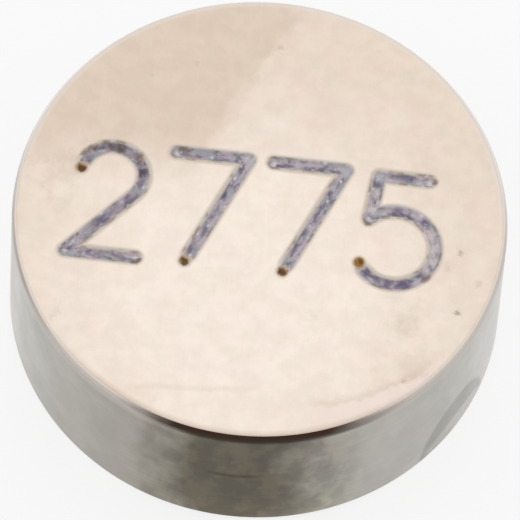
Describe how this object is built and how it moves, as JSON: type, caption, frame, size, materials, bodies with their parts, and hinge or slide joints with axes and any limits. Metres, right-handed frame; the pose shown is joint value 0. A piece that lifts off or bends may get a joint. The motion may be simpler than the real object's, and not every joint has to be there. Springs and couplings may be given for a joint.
{
  "type": "valve shim",
  "caption": "Small round ground-steel disc with flat faces, rounded rims and an engraved size number, fitted in the valve train to set valve clearance.",
  "frame": {"origin": "centre of the bottom face", "axes": "+Z along the disc's axis, up through the numbered face; +X is the direction in which the number is read"},
  "size_m": [0.0074, 0.0074, 0.0028],
  "materials": {
    "ground_steel": "fine-ground faces, satin side wall, number darkened by engraving heat"
  },
  "bodies": {
    "root": {"shim": "ground_steel"}
  },
  "joints": []
}
